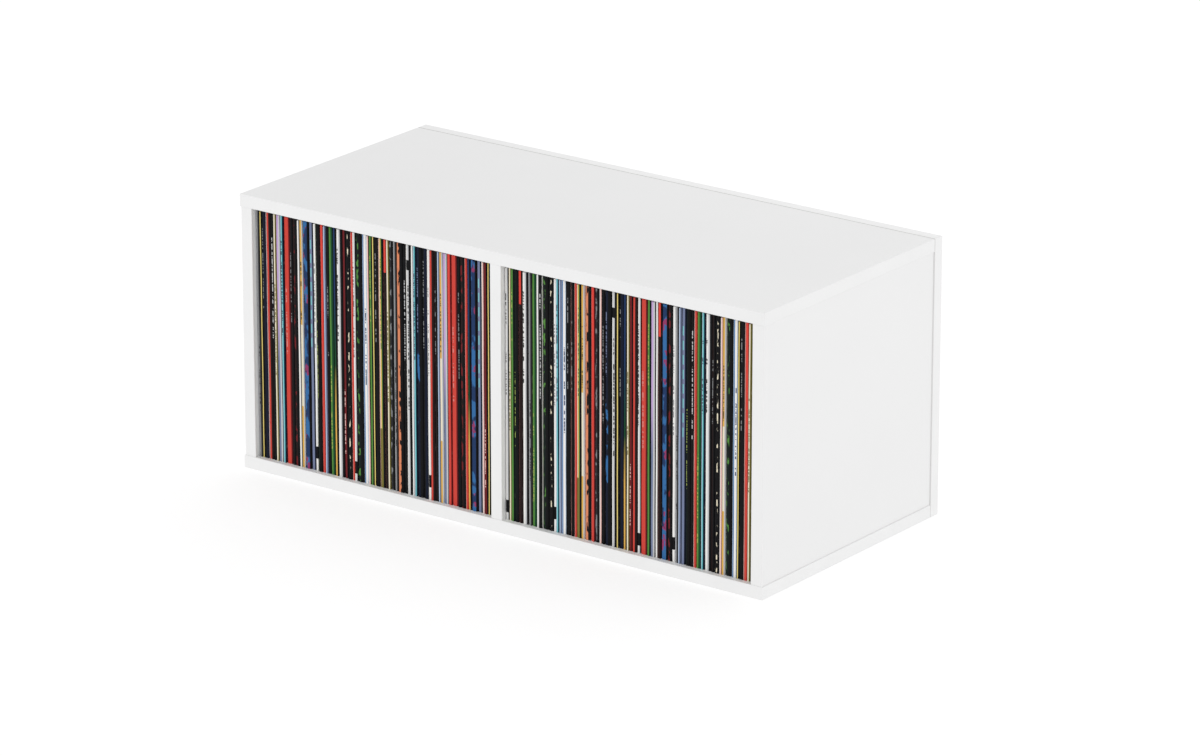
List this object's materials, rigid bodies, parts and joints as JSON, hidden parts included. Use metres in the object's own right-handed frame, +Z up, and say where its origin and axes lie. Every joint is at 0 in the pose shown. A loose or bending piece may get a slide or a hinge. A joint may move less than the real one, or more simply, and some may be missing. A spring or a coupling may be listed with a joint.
{
  "type": "record cabinet",
  "caption": "White board cabinet with an open front and a centre divider, filled with rows of records in card covers that draw out forwards.",
  "frame": {"origin": "middle of the footprint, on the floor under the bottom panel", "axes": "+X to the right seen from the front, +Y to the back, +Z up; the open front faces -Y"},
  "size_m": [0.775, 0.365, 0.35],
  "materials": {
    "white_faced_board": "satin",
    "white_edging": "satin",
    "zinc_plated_steel": "satin",
    "beech": "matte",
    "white_cap_plastic": "satin",
    "printed_cover": "satin"
  },
  "bodies": {
    "cabinet": {"bottom_panel": "white_faced_board", "top_panel": "white_faced_board", "left_side_panel": "white_faced_board", "right_side_panel": "white_faced_board", "centre_divider": "white_faced_board", "back_panel": "white_faced_board", "bottom_panel_edging": "white_edging", "top_panel_edging": "white_edging", "left_side_edging": "white_edging", "right_side_edging": "white_edging", "centre_divider_edging": "white_edging", "back_panel_edging": "white_edging", "cam_bolts": "zinc_plated_steel", "cam_locks": "zinc_plated_steel", "wood_dowels": "beech", "back_screws": "zinc_plated_steel", "cam_covers": "white_cap_plastic", "back_screw_caps": "white_cap_plastic"},
    "left_records_01": {"left_records_01": "printed_cover"},
    "left_records_02": {"left_records_02": "printed_cover"},
    "left_records_03": {"left_records_03": "printed_cover"},
    "left_records_04": {"left_records_04": "printed_cover"},
    "left_records_05": {"left_records_05": "printed_cover"},
    "left_records_06": {"left_records_06": "printed_cover"},
    "left_records_07": {"left_records_07": "printed_cover"},
    "left_records_08": {"left_records_08": "printed_cover"},
    "left_records_09": {"left_records_09": "printed_cover"},
    "left_records_10": {"left_records_10": "printed_cover"},
    "left_records_11": {"left_records_11": "printed_cover"},
    "right_records_01": {"right_records_01": "printed_cover"},
    "right_records_02": {"right_records_02": "printed_cover"},
    "right_records_03": {"right_records_03": "printed_cover"},
    "right_records_04": {"right_records_04": "printed_cover"},
    "right_records_05": {"right_records_05": "printed_cover"},
    "right_records_06": {"right_records_06": "printed_cover"},
    "right_records_07": {"right_records_07": "printed_cover"},
    "right_records_08": {"right_records_08": "printed_cover"},
    "right_records_09": {"right_records_09": "printed_cover"},
    "right_records_10": {"right_records_10": "printed_cover"},
    "right_records_11": {"right_records_11": "printed_cover"}
  },
  "joints": [
    {"name": "left_records_01_slide", "type": "slide", "parent": "cabinet", "child": "left_records_01", "axis": [0, -1, 0], "range_m": [0, 0.335]},
    {"name": "left_records_02_slide", "type": "slide", "parent": "cabinet", "child": "left_records_02", "axis": [0, -1, 0], "range_m": [0, 0.335]},
    {"name": "left_records_03_slide", "type": "slide", "parent": "cabinet", "child": "left_records_03", "axis": [0, -1, 0], "range_m": [0, 0.335]},
    {"name": "left_records_04_slide", "type": "slide", "parent": "cabinet", "child": "left_records_04", "axis": [0, -1, 0], "range_m": [0, 0.335]},
    {"name": "left_records_05_slide", "type": "slide", "parent": "cabinet", "child": "left_records_05", "axis": [0, -1, 0], "range_m": [0, 0.335]},
    {"name": "left_records_06_slide", "type": "slide", "parent": "cabinet", "child": "left_records_06", "axis": [0, -1, 0], "range_m": [0, 0.335]},
    {"name": "left_records_07_slide", "type": "slide", "parent": "cabinet", "child": "left_records_07", "axis": [0, -1, 0], "range_m": [0, 0.335]},
    {"name": "left_records_08_slide", "type": "slide", "parent": "cabinet", "child": "left_records_08", "axis": [0, -1, 0], "range_m": [0, 0.335]},
    {"name": "left_records_09_slide", "type": "slide", "parent": "cabinet", "child": "left_records_09", "axis": [0, -1, 0], "range_m": [0, 0.335]},
    {"name": "left_records_10_slide", "type": "slide", "parent": "cabinet", "child": "left_records_10", "axis": [0, -1, 0], "range_m": [0, 0.335]},
    {"name": "left_records_11_slide", "type": "slide", "parent": "cabinet", "child": "left_records_11", "axis": [0, -1, 0], "range_m": [0, 0.335]},
    {"name": "right_records_01_slide", "type": "slide", "parent": "cabinet", "child": "right_records_01", "axis": [0, -1, 0], "range_m": [0, 0.335]},
    {"name": "right_records_02_slide", "type": "slide", "parent": "cabinet", "child": "right_records_02", "axis": [0, -1, 0], "range_m": [0, 0.335]},
    {"name": "right_records_03_slide", "type": "slide", "parent": "cabinet", "child": "right_records_03", "axis": [0, -1, 0], "range_m": [0, 0.335]},
    {"name": "right_records_04_slide", "type": "slide", "parent": "cabinet", "child": "right_records_04", "axis": [0, -1, 0], "range_m": [0, 0.335]},
    {"name": "right_records_05_slide", "type": "slide", "parent": "cabinet", "child": "right_records_05", "axis": [0, -1, 0], "range_m": [0, 0.335]},
    {"name": "right_records_06_slide", "type": "slide", "parent": "cabinet", "child": "right_records_06", "axis": [0, -1, 0], "range_m": [0, 0.335]},
    {"name": "right_records_07_slide", "type": "slide", "parent": "cabinet", "child": "right_records_07", "axis": [0, -1, 0], "range_m": [0, 0.335]},
    {"name": "right_records_08_slide", "type": "slide", "parent": "cabinet", "child": "right_records_08", "axis": [0, -1, 0], "range_m": [0, 0.335]},
    {"name": "right_records_09_slide", "type": "slide", "parent": "cabinet", "child": "right_records_09", "axis": [0, -1, 0], "range_m": [0, 0.335]},
    {"name": "right_records_10_slide", "type": "slide", "parent": "cabinet", "child": "right_records_10", "axis": [0, -1, 0], "range_m": [0, 0.335]},
    {"name": "right_records_11_slide", "type": "slide", "parent": "cabinet", "child": "right_records_11", "axis": [0, -1, 0], "range_m": [0, 0.335]}
  ]
}
